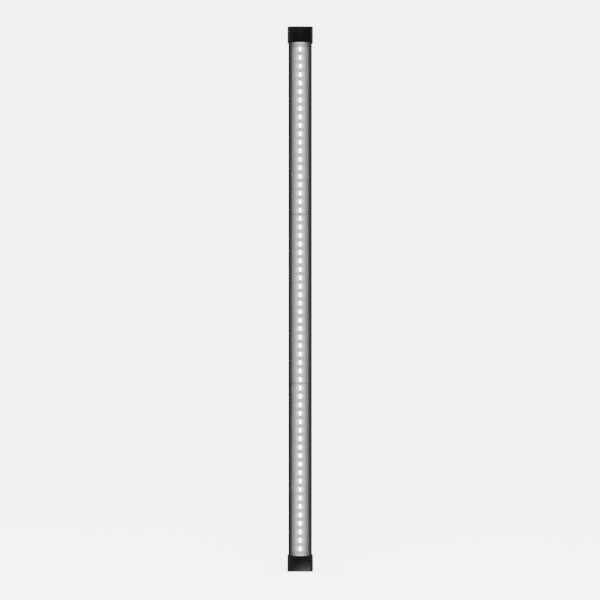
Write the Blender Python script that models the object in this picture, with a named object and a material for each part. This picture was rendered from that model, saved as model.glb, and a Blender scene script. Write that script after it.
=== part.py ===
"""Submersible LED aquarium light: a slim upright bar with 60 LEDs behind a clear crowned cover.

Run with: blender --background --python part.py   (Blender 4.5; metres, +Z up)

The bar stands on the flat end of its lower cap. Z runs along its length, -Y is the lit front,
and the origin is the middle of the lower end. A black two-chamber extrusion carries everything:
the front chamber holds the LED boards and the cover, the rear one the driver and its leads.
"""

import math

import bmesh
import bpy
from mathutils import Matrix

# ---------------------------------------------------------------- driving sizes, in metres
FIT_GAP = 0.0003  # between neighbours that touch or slide on each other

# outside
OVERALL_LENGTH = 0.590
BODY_WIDTH = 0.0257
BODY_CORNER = 0.0023
RAIL_WIDTH = 0.00385  # black rail seen on each side of the window
CAP_LENGTH = 0.0173
CAP_WALL = 0.0009  # sleeve of the cap around the extrusion
CAP_EDGE = 0.0010  # rounding of the cap's outer end
CAP_RIM = 0.0006  # bevel of the cap's open rim

# extrusion, from the front to the back
LIP_THICKNESS = 0.0016
LENS_THICKNESS = 0.0015
RIB_THICKNESS = 0.0010  # rib between the cover's groove and the board's groove
BOARD_THICKNESS = 0.0016
PAD_THICKNESS = 0.0006
WEB_THICKNESS = 0.0018  # wall between the two chambers
HEADROOM = 0.0008  # over the driver's tallest part, in the rear chamber
BACK_WALL = 0.0018
SIDE_WALL = 0.0013
RIB_REACH = 0.00155
CLIP_GROOVE_WIDTH = 0.0016
CLIP_GROOVE_DEPTH = 0.0006
CLIP_GROOVE_FROM_BACK = 0.0065
FIN_GROOVE_PITCH = 0.0024
FIN_GROOVE_WIDTH = 0.0012
FIN_GROOVE_DEPTH = 0.0008
BACK_LAND = 0.0060  # flat strip down the middle of the back
NOTCH_LENGTH = 0.0040  # where the leads pass through the web

# cover and its seals
LENS_CROWN = 0.0015
SEAL_WIDTH = 0.00075

# boards and LEDs
BOARD_COUNT = 3
LED_PITCH = 0.00917
LED_END_MARGIN = 0.0010
BOARD_FROM_END = 0.0037  # outer boards stop this far inside the extrusion
BOARD_JOINT = 0.0004
PAD_FROM_BOARD_END = 0.0005
PAD_SIDE_MARGIN = 0.0012
TRACK_WIDTH = 0.0024
TRACK_THICKNESS = 0.0003
DOME_RADIUS = 0.0032
DOME_RIM = 0.0005
DOME_SHOULDER_RADIUS = 0.0023
DOME_SHOULDER_HEIGHT = 0.0013
DOME_HEIGHT = 0.0017
DOME_SIDES = 10
DOME_LIFT = 0.00005  # the dome starts this far inside the track
LINK_WIDTH = 0.0009
LINK_LENGTH = 0.0046
LINK_THICKNESS = 0.0005

# end caps
END_WALL = 0.0045
CAP_CHAMBER = 0.0045  # room for the inlet's nut and tails
GASKET_THICKNESS = 0.0007
SEAL_LAND = 0.0029  # width of the ledge that the gasket lies on

# cap screws
SCREW_SHANK = 0.0022
SCREW_HEAD = 0.0046
SCREW_HEAD_HEIGHT = 0.0015
SCREW_HEAD_ROUND = 0.0005  # how far the pan head's edge is rounded off
SCREW_LENGTH = 0.0135
SCREW_TIP = 0.0012
SCREW_RECESS_WIDTH = 0.0007
SCREW_RECESS_SPAN = 0.0026
SCREW_RECESS_DEPTH = 0.0008
BOSS_WALL = 0.0009
BOSS_INSET = 0.00215  # screw axis from the extrusion's inner side wall
BOSS_FROM_WEB = 0.0028

# inlet socket in the lower cap
SOCKET_BARREL = 0.0090
SOCKET_WALL = 0.0011
SOCKET_FLANGE_REACH = 0.0015  # how far the flange stands out from the barrel
SOCKET_FLANGE_THICKNESS = 0.0010
SOCKET_HOLLOW_DEPTH = 0.0060
SOCKET_LENGTH = 0.0086
SOCKET_SEAL = 0.0009
NUT_WALL = 0.0009
NUT_THICKNESS = 0.0020
PIN_DIAMETER = 0.0010
PIN_SPACING = 0.0032
PIN_TIP = 0.0005  # height of the tapered tip
PIN_TIP_RADIUS = 0.0003
PIN_SET_BACK = 0.0018  # pin tip below the socket's mouth
PIN_TAIL = 0.0009  # pin beyond the back of the socket

# driver in the rear chamber
DRIVER_FROM_END = 0.0140
DRIVER_LENGTH = 0.0600
DRIVER_WIDTH = 0.0200
DRIVER_THICKNESS = 0.0012
DRIVER_PAD_THICKNESS = 0.0007
CHIP_SIZE = (0.0050, 0.0016, 0.0060)  # across, height, along
INDUCTOR_SIZE = (0.0078, 0.0044, 0.0078)
INDUCTOR_CORNER = 0.0016
DIODE_SIZE = (0.0026, 0.0021, 0.0044)
CAPACITOR_DIAMETER = 0.0050
CAPACITOR_LENGTH = 0.0110
CHIP_ALONG = 0.0150
INDUCTOR_ALONG = 0.0260
CAPACITOR_ALONG = 0.0405
DIODE_ALONG = 0.0530

# leads
LEAD_DIAMETER = 0.0012
SUPPLY_PAD_X = 0.0020
OUTPUT_PAD_X = 0.0060
LEAD_ON_PAD = 0.0028  # end of a lead that lies on its solder pad
LEAD_SEAT_GAP = 0.0004  # between a lead and the board it lies on
# (share of the way back to the driver board, share of the way up to it) of the supply leads
SUPPLY_ROUTE = ((0.0, 0.0), (0.10, 0.22), (0.62, 0.62), (1.0, 1.05))
LEAD_POINTS = 26

ROUND_STEPS = 6  # segments in a quarter turn of the extrusion's and caps' corners
EDGE_STEPS = 3  # segments in the rounding of a cap's outer end
ARC_STEPS = 24  # segments across the crowned cover
TURNED_SIDES = 20
SCREW_SIDES = 12

# ---------------------------------------------------------------- sizes worked out from them
TALLEST_PART = max(CAPACITOR_DIAMETER, INDUCTOR_SIZE[1], CHIP_SIZE[1], DIODE_SIZE[1])
CHAMBER_DEPTH = (
    DRIVER_PAD_THICKNESS + DRIVER_THICKNESS + TALLEST_PART + HEADROOM + 3 * FIT_GAP
)
BODY_DEPTH = (
    LIP_THICKNESS + LENS_THICKNESS + RIB_THICKNESS + BOARD_THICKNESS + PAD_THICKNESS
    + WEB_THICKNESS + CHAMBER_DEPTH + BACK_WALL + 5 * FIT_GAP
)
HALF_WIDTH = BODY_WIDTH / 2
FRONT = -BODY_DEPTH / 2
BACK = BODY_DEPTH / 2
LIP_BACK = FRONT + LIP_THICKNESS
RIB_FRONT = LIP_BACK + LENS_THICKNESS + 2 * FIT_GAP
RIB_BACK = RIB_FRONT + RIB_THICKNESS
BOARD_FRONT = RIB_BACK + FIT_GAP
BOARD_BACK = BOARD_FRONT + BOARD_THICKNESS
PAD_FRONT = BOARD_BACK + FIT_GAP
WEB_FRONT = PAD_FRONT + PAD_THICKNESS + FIT_GAP
WEB_BACK = WEB_FRONT + WEB_THICKNESS
CHAMBER_BACK = WEB_BACK + CHAMBER_DEPTH
INNER_HALF = HALF_WIDTH - SIDE_WALL
LIP_EDGE = HALF_WIDTH - RAIL_WIDTH  # half of the window's width
RIB_EDGE = INNER_HALF - RIB_REACH

CAP_PROUD = CAP_WALL + FIT_GAP
LEDGE = END_WALL + CAP_CHAMBER
BODY_FROM_END = LEDGE + GASKET_THICKNESS + 2 * FIT_GAP
BODY_TOP = OVERALL_LENGTH - BODY_FROM_END

FIN_GROOVES_PER_SIDE = int((HALF_WIDTH - BODY_CORNER - BACK_LAND / 2) / FIN_GROOVE_PITCH)

SCREW_X = INNER_HALF - BOSS_INSET
SCREW_Y = WEB_BACK + BOSS_FROM_WEB
BORE_RADIUS = SCREW_SHANK / 2 + FIT_GAP
BOSS_HALF = BORE_RADIUS + BOSS_WALL
HEAD_RECESS_RADIUS = SCREW_HEAD / 2 + FIT_GAP
HEAD_RECESS_DEPTH = SCREW_HEAD_HEIGHT + 2 * FIT_GAP

LIT_LENGTH = OVERALL_LENGTH - 2 * CAP_LENGTH - 2 * LED_END_MARGIN
LEDS_PER_BOARD = int(LIT_LENGTH / BOARD_COUNT / LED_PITCH)
LED_COUNT = LEDS_PER_BOARD * BOARD_COUNT
FIRST_LED = OVERALL_LENGTH / 2 - (LED_COUNT - 1) / 2 * LED_PITCH

DRIVER_START = BODY_FROM_END + DRIVER_FROM_END
DRIVER_PAD_FRONT = CHAMBER_BACK - FIT_GAP - DRIVER_PAD_THICKNESS
DRIVER_FRONT = DRIVER_PAD_FRONT - FIT_GAP - DRIVER_THICKNESS
LEAD_RADIUS = LEAD_DIAMETER / 2
LEAD_ON_DRIVER = DRIVER_FRONT - LEAD_SEAT_GAP - LEAD_RADIUS
LEAD_ON_LED_BOARD = BOARD_FRONT - LEAD_SEAT_GAP - LEAD_RADIUS
NOTCH_HALF = OUTPUT_PAD_X + LEAD_RADIUS + FIT_GAP

SOCKET_FLANGE = SOCKET_BARREL + 2 * SOCKET_FLANGE_REACH
SOCKET_HOLLOW = SOCKET_BARREL - 2 * SOCKET_WALL
NUT_ACROSS_FLATS = SOCKET_BARREL + 2 * (FIT_GAP + NUT_WALL)

# heights above the lower cap's end face
SOCKET_FACE = FIT_GAP
FLANGE_BACK = SOCKET_FACE + SOCKET_FLANGE_THICKNESS
RING_LOW = FLANGE_BACK + FIT_GAP
RECESS_FLOOR = RING_LOW + SOCKET_SEAL + FIT_GAP
SOCKET_BACK = SOCKET_FACE + SOCKET_LENGTH
PIN_BACK = SOCKET_BACK + PIN_TAIL

OVERSHOOT = 0.002  # how far a cutter runs past what it cuts


# ---------------------------------------------------------------- materials
def material(name, colour, roughness, metallic=0.0, transmission=0.0, glow=0.0):
    found = bpy.data.materials.get(name)
    if found:
        return found
    made = bpy.data.materials.new(name)
    made.use_nodes = True
    shader = made.node_tree.nodes["Principled BSDF"]
    shader.inputs["Base Color"].default_value = (*colour, 1.0)
    shader.inputs["Roughness"].default_value = roughness
    shader.inputs["Metallic"].default_value = metallic
    shader.inputs["Transmission Weight"].default_value = transmission
    shader.inputs["Emission Color"].default_value = (*colour, 1.0)
    shader.inputs["Emission Strength"].default_value = glow
    made.diffuse_color = (*colour, 1.0)
    return made


def black_anodised():
    return material("black_anodised_aluminium", (0.028, 0.029, 0.031), 0.38, metallic=0.6)


def black_moulding():
    return material("black_moulded_plastic", (0.008, 0.008, 0.009), 0.30)


def clear_cover():
    return material("clear_polycarbonate", (0.90, 0.91, 0.92), 0.08, transmission=0.9)


def clear_silicone():
    return material("translucent_silicone", (0.72, 0.74, 0.75), 0.55)


def black_rubber():
    return material("black_rubber", (0.012, 0.012, 0.012), 0.80)


def board_face():
    return material("silver_grey_board", (0.60, 0.61, 0.62), 0.35, metallic=0.5)


def thermal_pad():
    return material("thermal_pad_grey", (0.33, 0.36, 0.42), 0.85)


def white_led():
    return material("white_led", (1.0, 1.0, 1.0), 0.20, glow=2.0)


def solder():
    return material("solder_tin", (0.72, 0.72, 0.70), 0.30, metallic=1.0)


def stainless():
    return material("stainless_steel", (0.62, 0.61, 0.58), 0.28, metallic=1.0)


def brass():
    return material("tinned_brass", (0.78, 0.65, 0.38), 0.25, metallic=1.0)


def green_board():
    return material("green_circuit_board", (0.03, 0.20, 0.08), 0.45)


def black_epoxy():
    return material("black_epoxy", (0.015, 0.015, 0.016), 0.55)


def ferrite():
    return material("grey_ferrite", (0.12, 0.12, 0.13), 0.60)


def capacitor_sleeve():
    return material("dark_blue_sleeve", (0.02, 0.03, 0.09), 0.35)


def lead_sleeve(positive):
    if positive:
        return material("red_lead_sleeve", (0.50, 0.02, 0.02), 0.50)
    return material("black_lead_sleeve", (0.015, 0.015, 0.015), 0.50)


# ---------------------------------------------------------------- building blocks
def add_object(name, mesh, finish, parent=None):
    obj = bpy.data.objects.new(name, mesh)
    bpy.context.scene.collection.objects.link(obj)
    mesh.materials.append(finish)
    obj.parent = parent
    return obj


def mesh_from(name, bm, smooth=False):
    bmesh.ops.recalc_face_normals(bm, faces=bm.faces)
    mesh = bpy.data.meshes.new(name)
    bm.to_mesh(mesh)
    bm.free()
    if smooth:
        mesh.shade_smooth()
        mesh.set_sharp_from_angle(angle=math.radians(35))
    return mesh


def raise_face(bm, face, height):
    """Extrudes a flat face straight up into a closed solid."""
    grown = bmesh.ops.extrude_face_region(bm, geom=[face])
    top = [v for v in grown["geom"] if isinstance(v, bmesh.types.BMVert)]
    bmesh.ops.translate(bm, verts=top, vec=(0, 0, height))


def prism(name, outline, low, high, smooth=False):
    """A solid of constant section: the outline in X and Y, from one height to another."""
    bm = bmesh.new()
    face = bm.faces.new([bm.verts.new((x, y, low)) for x, y in outline])
    raise_face(bm, face, high - low)
    return mesh_from(name, bm, smooth)


def rectangle(x0, y0, x1, y1):
    return [(x0, y0), (x1, y0), (x1, y1), (x0, y1)]


def arc(x, y, radius, start, end, steps=ROUND_STEPS):
    """Points of an arc round (x, y), with its angles in quarter turns."""
    angles = [math.pi / 2 * (start + (end - start) * i / steps) for i in range(steps + 1)]
    return [(x + radius * math.cos(a), y + radius * math.sin(a)) for a in angles]


def rounded_rectangle(width, depth, radius):
    x = width / 2 - radius
    y = depth / 2 - radius
    return (
        arc(x, -y, radius, -1, 0)
        + arc(x, y, radius, 0, 1)
        + arc(-x, y, radius, 1, 2)
        + arc(-x, -y, radius, 2, 3)
    )


def stacked(name, layers):
    """Closed solid through outlines of equal point count, each given with its height."""
    bm = bmesh.new()
    rings = []
    for outline, z in layers:
        corners = [bm.verts.new((x, y, z)) for x, y in outline]
        pairs = zip(corners, corners[1:] + corners[:1])
        rings.append([bm.edges.new(pair) for pair in pairs])
    for lower, upper in zip(rings, rings[1:]):
        bmesh.ops.bridge_loops(bm, edges=lower + upper)
    for ring in (rings[0], rings[-1]):
        bmesh.ops.contextual_create(bm, geom=ring)
    return mesh_from(name, bm, smooth=True)


def turned(name, profile, sides=TURNED_SIDES):
    """Solid turned round Z from a profile of (radius, height) that starts and ends on the axis,
    or that closes on itself."""
    bm = bmesh.new()
    points = [bm.verts.new((radius, 0, z)) for radius, z in profile]
    lines = [bm.edges.new(pair) for pair in zip(points, points[1:])]
    if profile[0][0] > 0:
        lines.append(bm.edges.new((points[-1], points[0])))
    bmesh.ops.spin(
        bm,
        geom=points + lines,
        angle=2 * math.pi,
        steps=sides,
        axis=(0, 0, 1),
        cent=(0, 0, 0),
        use_merge=True,
    )
    bmesh.ops.remove_doubles(bm, verts=bm.verts, dist=1e-6)
    return mesh_from(name, bm, smooth=True)


def moved_copies(name, mesh, places):
    """One mesh holding a copy of the given mesh at each place."""
    bm = bmesh.new()
    for place in places:
        before = len(bm.verts)
        bm.from_mesh(mesh)
        bm.verts.ensure_lookup_table()
        bmesh.ops.translate(bm, verts=bm.verts[before:], vec=place)
    copies = mesh_from(name, bm)
    bpy.data.meshes.remove(mesh)
    return copies


def add_helper(name, mesh, parent=None):
    helper = bpy.data.objects.new(name, mesh)
    bpy.context.scene.collection.objects.link(helper)
    helper.parent = parent
    helper.hide_render = True
    helper.display_type = "WIRE"
    return helper


def combine(obj, helper, operation):
    step = obj.modifiers.new(helper.name, "BOOLEAN")
    step.operation = operation
    step.solver = "EXACT"
    step.object = helper


def cut(obj, mesh):
    combine(obj, add_helper(mesh.name, mesh, obj.parent), "DIFFERENCE")


# ---------------------------------------------------------------- extrusion
def fin_grooves():
    """Outline points of the cooling grooves in the back, from the outermost to the middle."""
    points = []
    for i in reversed(range(FIN_GROOVES_PER_SIDE)):
        middle = BACK_LAND / 2 + (i + 0.5) * FIN_GROOVE_PITCH
        outer = middle + FIN_GROOVE_WIDTH / 2
        inner = middle - FIN_GROOVE_WIDTH / 2
        floor = BACK - FIN_GROOVE_DEPTH
        points += [(outer, BACK), (outer, floor), (inner, floor), (inner, BACK)]
    return points


def clip_groove():
    """The groove in the side wall that a holding clip snaps into."""
    start = BACK - CLIP_GROOVE_FROM_BACK - CLIP_GROOVE_WIDTH / 2
    end = start + CLIP_GROOVE_WIDTH
    floor = HALF_WIDTH - CLIP_GROOVE_DEPTH
    return [(HALF_WIDTH, start), (floor, start), (floor, end), (HALF_WIDTH, end)]


def housing_outline():
    """Section of the extrusion, less its rear chamber and screw bores."""
    right = [
        (INNER_HALF, WEB_FRONT),
        (INNER_HALF, RIB_BACK),
        (RIB_EDGE, RIB_BACK),
        (RIB_EDGE, RIB_FRONT),
        (INNER_HALF, RIB_FRONT),
        (INNER_HALF, LIP_BACK),
        (LIP_EDGE, LIP_BACK),
        (LIP_EDGE, FRONT),
    ]
    right += arc(HALF_WIDTH - BODY_CORNER, FRONT + BODY_CORNER, BODY_CORNER, -1, 0)
    right += clip_groove()
    right += arc(HALF_WIDTH - BODY_CORNER, BACK - BODY_CORNER, BODY_CORNER, 0, 1)
    right += fin_grooves()
    return right + [(-x, y) for x, y in reversed(right)]


def chamber_outline():
    """Section of the rear chamber, which leaves a screw boss in each front corner."""
    boss_edge = SCREW_X - BOSS_HALF
    boss_back = SCREW_Y + BOSS_HALF
    right = [
        (boss_edge, WEB_BACK),
        (boss_edge, boss_back),
        (INNER_HALF, boss_back),
        (INNER_HALF, CHAMBER_BACK),
    ]
    return right + [(-x, y) for x, y in reversed(right)]


def screw_places(z):
    return [(SCREW_X, SCREW_Y, z), (-SCREW_X, SCREW_Y, z)]


def round_bar(name, radius, low, high, sides):
    return turned(name, [(0, low), (radius, low), (radius, high), (0, high)], sides)


def housing_profile():
    housing = add_object(
        "housing_profile",
        prism("housing_profile", housing_outline(), BODY_FROM_END, BODY_TOP, smooth=True),
        black_anodised(),
    )
    low = BODY_FROM_END - OVERSHOOT
    high = BODY_TOP + OVERSHOOT
    cut(housing, prism("rear_chamber_cut", chamber_outline(), low, high))
    bore = round_bar("bore", BORE_RADIUS, low, high, SCREW_SIDES)
    cut(housing, moved_copies("screw_bore_cut", bore, screw_places(0)))
    notch = rectangle(-NOTCH_HALF, WEB_FRONT - OVERSHOOT, NOTCH_HALF, WEB_BACK + OVERSHOOT)
    cut(housing, prism("lead_notch_cut", notch, low, BODY_FROM_END + NOTCH_LENGTH))


# ---------------------------------------------------------------- cover
def crown(half, edge_y, steps=ARC_STEPS):
    """Points of a shallow arc across the window, from +X to -X, bulging to the front."""
    radius = (half * half + LENS_CROWN * LENS_CROWN) / (2 * LENS_CROWN)
    reach = math.asin(half / radius)
    angles = [reach * (1 - 2 * i / steps) for i in range(steps + 1)]
    centre = edge_y - LENS_CROWN + radius
    return [(radius * math.sin(a), centre - radius * math.cos(a)) for a in angles]


def lens_outline():
    seat = LIP_BACK + FIT_GAP  # front of the tongue, behind the lip
    back = seat + LENS_THICKNESS
    shoulder = LIP_EDGE - FIT_GAP
    tongue = INNER_HALF - SEAL_WIDTH - 2 * FIT_GAP
    return (
        [(tongue, back), (tongue, seat), (shoulder, seat)]
        + crown(shoulder, LIP_BACK)
        + [(-shoulder, seat), (-tongue, seat), (-tongue, back)]
        + crown(shoulder, back)[::-1]
    )


def lens_cover():
    outline = lens_outline()
    mesh = prism("lens_cover", outline, BODY_FROM_END, BODY_TOP, smooth=True)
    add_object("lens_cover", mesh, clear_cover())


def lens_seal(side, direction):
    name = f"lens_seal_{side}"
    outer = INNER_HALF - FIT_GAP
    ends = sorted((direction * outer, direction * (outer - SEAL_WIDTH)))
    outline = rectangle(ends[0], LIP_BACK + FIT_GAP, ends[1], RIB_FRONT - FIT_GAP)
    add_object(name, prism(name, outline, BODY_FROM_END, BODY_TOP), clear_silicone())


# ---------------------------------------------------------------- boards and LEDs
def board_ends(number):
    """Lowest and highest point of a board; the outer boards run on to near the caps."""
    first = FIRST_LED + number * LEDS_PER_BOARD * LED_PITCH
    low = first - LED_PITCH / 2 + BOARD_JOINT / 2
    high = low + LEDS_PER_BOARD * LED_PITCH - BOARD_JOINT
    if number == 0:
        low = BODY_FROM_END + BOARD_FROM_END
    if number == BOARD_COUNT - 1:
        high = BODY_TOP - BOARD_FROM_END
    return low, high


def led_board(number):
    name = f"led_board_{number + 1}"
    low, high = board_ends(number)
    half = INNER_HALF - FIT_GAP
    outline = rectangle(-half, BOARD_FRONT, half, BOARD_BACK)
    add_object(name, prism(name, outline, low, high), board_face())


def thermal_pad_strip(number):
    name = f"thermal_pad_{number + 1}"
    low, high = board_ends(number)
    half = INNER_HALF - FIT_GAP - PAD_SIDE_MARGIN
    outline = rectangle(-half, PAD_FRONT, half, PAD_FRONT + PAD_THICKNESS)
    mesh = prism(name, outline, low + PAD_FROM_BOARD_END, high - PAD_FROM_BOARD_END)
    add_object(name, mesh, thermal_pad())


def dome():
    """One LED with its moulded lens, its base at the origin, facing +Z before it is turned."""
    profile = [
        (0, 0),
        (DOME_RADIUS, 0),
        (DOME_RADIUS, DOME_RIM),
        (DOME_SHOULDER_RADIUS, DOME_SHOULDER_HEIGHT),
        (0, DOME_HEIGHT),
    ]
    return turned("led", profile, DOME_SIDES)


def led_row(number):
    """The LEDs of one board on the copper track that links them."""
    name = f"led_row_{number + 1}"
    first = FIRST_LED + number * LEDS_PER_BOARD * LED_PITCH
    last = first + (LEDS_PER_BOARD - 1) * LED_PITCH
    seat = BOARD_FRONT - FIT_GAP
    outline = rectangle(-TRACK_WIDTH / 2, seat - TRACK_THICKNESS, TRACK_WIDTH / 2, seat)
    track = prism(name, outline, first - DOME_RADIUS, last + DOME_RADIUS)
    row = add_object(name, track, white_led())
    led = dome()
    led.transform(Matrix.Rotation(math.pi / 2, 4, "X"))
    places = [(0, seat - DOME_LIFT, first + i * LED_PITCH) for i in range(LEDS_PER_BOARD)]
    combine(row, add_helper(f"leds_{number + 1}", moved_copies("leds", led, places)), "UNION")


def board_link(joint, side, direction):
    """Soldered bridge that carries the supply from one board to the next, behind the rail."""
    name = f"board_link_{joint}_{side}"
    height = board_ends(joint)[0] - BOARD_JOINT / 2
    outer = RIB_EDGE - FIT_GAP
    ends = sorted((direction * outer, direction * (outer - LINK_WIDTH)))
    seat = BOARD_FRONT - FIT_GAP
    outline = rectangle(ends[0], seat - LINK_THICKNESS, ends[1], seat)
    mesh = prism(name, outline, height - LINK_LENGTH / 2, height + LINK_LENGTH / 2)
    add_object(name, mesh, solder())


# ---------------------------------------------------------------- end caps
def end_frame(name, is_top):
    """Each end is modelled from its own outer face inwards; the upper one is turned over."""
    frame = bpy.data.objects.new(name, None)
    bpy.context.scene.collection.objects.link(frame)
    if is_top:
        frame.location = (0, 0, OVERALL_LENGTH)
        frame.rotation_euler = (0, math.pi, 0)
    return frame


def cap_section(inset):
    return rounded_rectangle(
        BODY_WIDTH + 2 * (CAP_PROUD - inset),
        BODY_DEPTH + 2 * (CAP_PROUD - inset),
        BODY_CORNER + CAP_PROUD - inset,
    )


def cap_solid(name):
    edge = arc(0, 0, CAP_EDGE, 0, 1, EDGE_STEPS)
    layers = [(cap_section(CAP_EDGE - x), CAP_EDGE - y) for x, y in reversed(edge)]
    layers.append((cap_section(0), CAP_LENGTH - CAP_RIM))
    layers.append((cap_section(CAP_RIM), CAP_LENGTH))
    return stacked(name, layers)


def cavity_outline():
    """Hollow of the cap behind the gasket, which leaves a post round each screw."""
    wide = HALF_WIDTH - SEAL_LAND
    deep = BODY_DEPTH / 2 - SEAL_LAND
    post = SCREW_X - BOSS_HALF
    right = [
        (wide, -deep),
        (wide, SCREW_Y - BOSS_HALF),
        (post, SCREW_Y - BOSS_HALF),
        (post, SCREW_Y + BOSS_HALF),
        (wide, SCREW_Y + BOSS_HALF),
        (wide, deep),
    ]
    return right + [(-x, y) for x, y in reversed(right)]


def pocket_outline():
    return rounded_rectangle(
        BODY_WIDTH + 2 * FIT_GAP, BODY_DEPTH + 2 * FIT_GAP, BODY_CORNER + FIT_GAP
    )


def screw_hole(name):
    profile = [
        (0, -OVERSHOOT),
        (HEAD_RECESS_RADIUS, -OVERSHOOT),
        (HEAD_RECESS_RADIUS, HEAD_RECESS_DEPTH),
        (BORE_RADIUS, HEAD_RECESS_DEPTH),
        (BORE_RADIUS, LEDGE + OVERSHOOT),
        (0, LEDGE + OVERSHOOT),
    ]
    return moved_copies(name, turned("hole", profile, SCREW_SIDES), screw_places(0))


def socket_hole():
    flange = SOCKET_FLANGE / 2 + FIT_GAP
    barrel = SOCKET_BARREL / 2 + FIT_GAP
    top = LEDGE - FIT_GAP
    profile = [
        (0, -OVERSHOOT),
        (flange, -OVERSHOOT),
        (flange, RECESS_FLOOR),
        (barrel, RECESS_FLOOR),
        (barrel, top),
        (0, top),
    ]
    return turned("socket_cut", profile)


def end_cap(frame, end):
    name = f"end_cap_{end}"
    cap = add_object(name, cap_solid(name), black_moulding(), frame)
    pocket = prism(f"pocket_cut_{end}", pocket_outline(), LEDGE, CAP_LENGTH + OVERSHOOT)
    cut(cap, pocket)
    cavity = prism(f"cavity_cut_{end}", cavity_outline(), END_WALL, LEDGE + OVERSHOOT)
    cut(cap, cavity)
    cut(cap, screw_hole(f"screw_cut_{end}"))
    if end == "bottom":
        cut(cap, socket_hole())


def gasket(frame, end):
    name = f"gasket_{end}"
    low = LEDGE + FIT_GAP
    high = low + GASKET_THICKNESS
    outline = rounded_rectangle(BODY_WIDTH, BODY_DEPTH, BODY_CORNER)
    seal = add_object(name, prism(name, outline, low, high), black_rubber(), frame)
    window = prism(f"gasket_cut_{end}", cavity_outline(), low - OVERSHOOT, high + OVERSHOOT)
    cut(seal, window)
    hole = round_bar("hole", BORE_RADIUS, low - OVERSHOOT, high + OVERSHOOT, SCREW_SIDES)
    cut(seal, moved_copies(f"gasket_hole_cut_{end}", hole, screw_places(0)))


def screw_mesh(name):
    head = FIT_GAP
    neck = head + SCREW_HEAD_HEIGHT
    end = neck + SCREW_LENGTH
    radius = SCREW_HEAD / 2
    profile = [
        (0, head),
        (radius - SCREW_HEAD_ROUND, head),
        (radius, head + SCREW_HEAD_ROUND),
        (radius, neck),
        (SCREW_SHANK / 2, neck),
        (SCREW_SHANK / 2, end - SCREW_TIP),
        (0, end),
    ]
    return turned(name, profile, SCREW_SIDES)


def cross_recess(name):
    """Cutter for the cross in a screw's head, as one closed plus-shaped prism."""
    long = SCREW_RECESS_SPAN / 2
    short = SCREW_RECESS_WIDTH / 2
    quarter = [(long, -short), (long, short), (short, short)]
    outline = []
    for turn in range(4):
        angle = turn * math.pi / 2
        c, s = round(math.cos(angle)), round(math.sin(angle))
        outline += [(x * c - y * s, x * s + y * c) for x, y in quarter]
    return prism(name, outline, FIT_GAP - OVERSHOOT, FIT_GAP + SCREW_RECESS_DEPTH)


def cap_screw(frame, end, side, x):
    name = f"cap_screw_{end}_{side}"
    place = bpy.data.objects.new(f"{name}_axis", None)
    bpy.context.scene.collection.objects.link(place)
    place.parent = frame
    place.location = (x, SCREW_Y, 0)
    screw = add_object(name, screw_mesh(name), stainless(), place)
    cut(screw, cross_recess(f"{name}_cross_cut"))


def closed_end(end):
    """One end of the bar: cap, gasket and screws."""
    is_top = end == "top"
    frame = end_frame(f"{end}_end", is_top)
    end_cap(frame, end)
    gasket(frame, end)
    left = SCREW_X if is_top else -SCREW_X
    cap_screw(frame, end, "left", left)
    cap_screw(frame, end, "right", -left)


# ---------------------------------------------------------------- inlet socket
def inlet_socket():
    floor = SOCKET_FACE + SOCKET_HOLLOW_DEPTH
    profile = [
        (0, floor),
        (SOCKET_HOLLOW / 2, floor),
        (SOCKET_HOLLOW / 2, SOCKET_FACE),
        (SOCKET_FLANGE / 2, SOCKET_FACE),
        (SOCKET_FLANGE / 2, FLANGE_BACK),
        (SOCKET_BARREL / 2, FLANGE_BACK),
        (SOCKET_BARREL / 2, SOCKET_BACK),
        (0, SOCKET_BACK),
    ]
    socket = add_object("inlet_socket", turned("inlet_socket", profile), black_moulding())
    low = floor - OVERSHOOT
    high = SOCKET_BACK + OVERSHOOT
    hole = round_bar("hole", PIN_DIAMETER / 2 + FIT_GAP, low, high, SCREW_SIDES)
    places = [(PIN_SPACING / 2, 0, 0), (-PIN_SPACING / 2, 0, 0)]
    cut(socket, moved_copies("pin_hole_cut", hole, places))


def inlet_seal_ring():
    radius = SOCKET_SEAL / 2
    middle = SOCKET_BARREL / 2 + FIT_GAP + radius
    points = arc(middle, RING_LOW + radius, radius, 0, 4, steps=8)[:-1]
    add_object("inlet_seal_ring", turned("inlet_seal_ring", points), black_rubber())


def inlet_nut():
    low = END_WALL + FIT_GAP
    corner = NUT_ACROSS_FLATS / math.sqrt(3)
    hexagon = arc(0, 0, corner, 0, 4, steps=6)[:-1]
    mesh = prism("inlet_nut", hexagon, low, low + NUT_THICKNESS)
    nut = add_object("inlet_nut", mesh, stainless())
    radius = SOCKET_BARREL / 2 + FIT_GAP
    high = low + NUT_THICKNESS + OVERSHOOT
    cut(nut, round_bar("nut_bore_cut", radius, low - OVERSHOOT, high, TURNED_SIDES))


def inlet_pin(side, x):
    low = SOCKET_FACE + PIN_SET_BACK
    radius = PIN_DIAMETER / 2
    profile = [
        (0, low),
        (PIN_TIP_RADIUS, low),
        (radius, low + PIN_TIP),
        (radius, PIN_BACK),
        (0, PIN_BACK),
    ]
    pin = add_object(f"inlet_pin_{side}", turned("inlet_pin", profile, SCREW_SIDES), brass())
    pin.location = (x, 0, 0)


# ---------------------------------------------------------------- driver
def driver_slab(name, front, thickness, finish):
    half = DRIVER_WIDTH / 2
    outline = rectangle(-half, front, half, front + thickness)
    mesh = prism(name, outline, DRIVER_START, DRIVER_START + DRIVER_LENGTH)
    add_object(name, mesh, finish)


def component(name, size, x, along, finish):
    """A block that stands on the driver board's front."""
    across, height, length = size
    seat = DRIVER_FRONT - FIT_GAP
    outline = rectangle(x - across / 2, seat - height, x + across / 2, seat)
    low = DRIVER_START + along - length / 2
    add_object(name, prism(name, outline, low, low + length), finish)


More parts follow.
